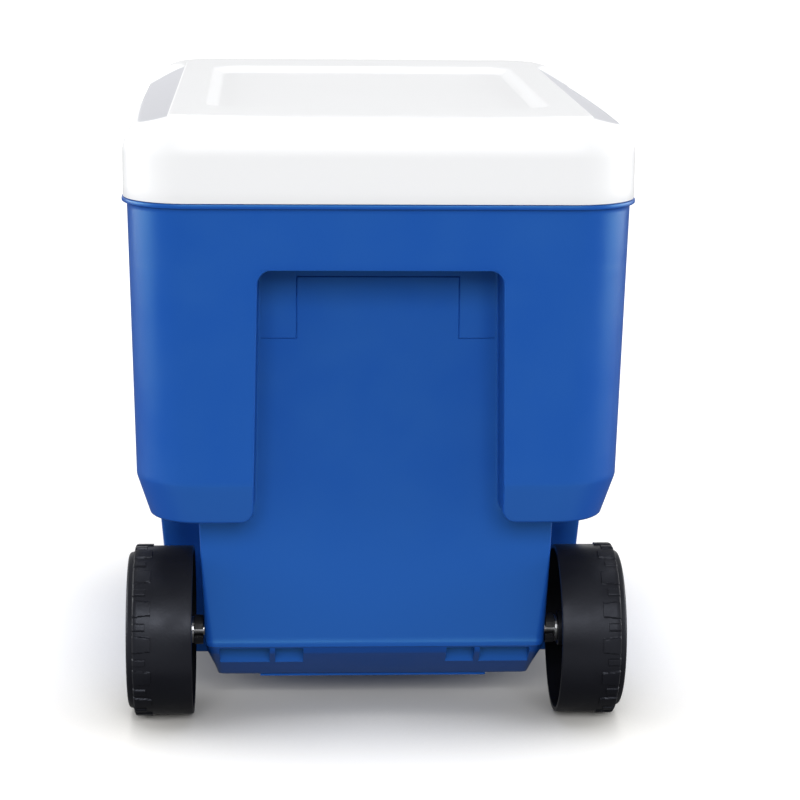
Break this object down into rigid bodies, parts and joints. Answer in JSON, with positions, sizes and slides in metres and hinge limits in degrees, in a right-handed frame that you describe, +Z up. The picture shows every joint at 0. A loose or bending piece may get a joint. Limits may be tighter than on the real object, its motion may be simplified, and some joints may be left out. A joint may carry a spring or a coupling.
{
  "type": "wheeled cooler",
  "caption": "Wheeled picnic cooler: insulated box with a hinged lid, two wheels on an axle, rear feet and a telescoping tow handle with a push button.",
  "frame": {"origin": "on the floor, under the middle of the whole object's box", "axes": "+Z up, +Y from the wheels to the tow handle, +X to the hinge side of the lid"},
  "size_m": [0.3709, 0.5346, 0.451],
  "materials": {
    "body_blue": "satin",
    "lid_white": "satin",
    "liner_white": "satin",
    "foam": "matte",
    "hinge_white": "satin",
    "wheel_black": "satin",
    "black_plastic": "matte",
    "grip_black": "matte",
    "foot_black": "matte",
    "button_grey": "satin",
    "tube_alloy": "satin",
    "steel": "satin"
  },
  "bodies": {
    "base": {"body_shell": "body_blue", "inner_liner": "liner_white", "body_foam": "foam", "hinge_front_body_leaf": "hinge_white", "hinge_front_pin": "steel", "hinge_front_body_screw_1": "steel", "hinge_front_body_screw_2": "steel", "hinge_rear_body_leaf": "hinge_white", "hinge_rear_pin": "steel", "hinge_rear_body_screw_1": "steel", "hinge_rear_body_screw_2": "steel", "axle": "steel", "axle_clip_left": "black_plastic", "axle_washer_left": "steel", "axle_cap_left": "steel", "rear_foot_left": "foot_black", "handle_outer_tube_left": "tube_alloy", "axle_clip_right": "black_plastic", "axle_washer_right": "steel", "axle_cap_right": "steel", "rear_foot_right": "foot_black", "handle_outer_tube_right": "tube_alloy", "handle_upper_bracket": "black_plastic", "upper_bracket_screw_1": "steel", "upper_bracket_screw_2": "steel", "upper_bracket_screw_3": "steel", "upper_bracket_screw_4": "steel", "handle_lower_bracket": "black_plastic", "lower_bracket_screw_1": "steel", "lower_bracket_screw_2": "steel", "lower_bracket_screw_3": "steel", "lower_bracket_screw_4": "steel"},
    "lid": {"lid_shell": "lid_white", "lid_liner": "liner_white", "lid_foam": "foam", "hinge_front_lid_leaf": "hinge_white", "hinge_front_lid_screw_1": "steel", "hinge_front_lid_screw_2": "steel", "hinge_rear_lid_leaf": "hinge_white", "hinge_rear_lid_screw_1": "steel", "hinge_rear_lid_screw_2": "steel"},
    "left_wheel": {"wheel_left": "wheel_black"},
    "right_wheel": {"wheel_right": "wheel_black"},
    "tow_handle": {"handle_inner_tube_left": "tube_alloy", "tube_plug_left": "black_plastic", "lock_pin_left": "steel", "grip_screw_left": "steel", "handle_inner_tube_right": "tube_alloy", "tube_plug_right": "black_plastic", "lock_pin_right": "steel", "grip_screw_right": "steel", "grip_body": "grip_black", "grip_cover": "grip_black", "button_spring": "steel"},
    "release": {"push_button": "button_grey", "release_bar": "black_plastic"}
  },
  "joints": [
    {"name": "lid_hinge", "type": "hinge", "parent": "base", "child": "lid", "pos_m": [0.1832, -0.01465, 0.391], "axis": [0, 1, 0], "range_deg": [0, 105]},
    {"name": "wheel_left_spin", "type": "hinge", "parent": "base", "child": "left_wheel", "pos_m": [-0.1555, -0.19865, 0.0635], "axis": [1, 0, 0], "continuous": true},
    {"name": "wheel_right_spin", "type": "hinge", "parent": "base", "child": "right_wheel", "pos_m": [0.1555, -0.19865, 0.0635], "axis": [1, 0, 0], "continuous": true},
    {"name": "handle_extend", "type": "slide", "parent": "base", "child": "tow_handle", "axis": [0, 0, 1], "range_m": [0, 0.3]},
    {"name": "button_press", "type": "slide", "parent": "tow_handle", "child": "release", "axis": [0, 0, -1], "range_m": [0, 0.004], "stiffness_N_per_m": 400, "springref_m": -0.003, "deforming": ["button_spring"]}
  ]
}
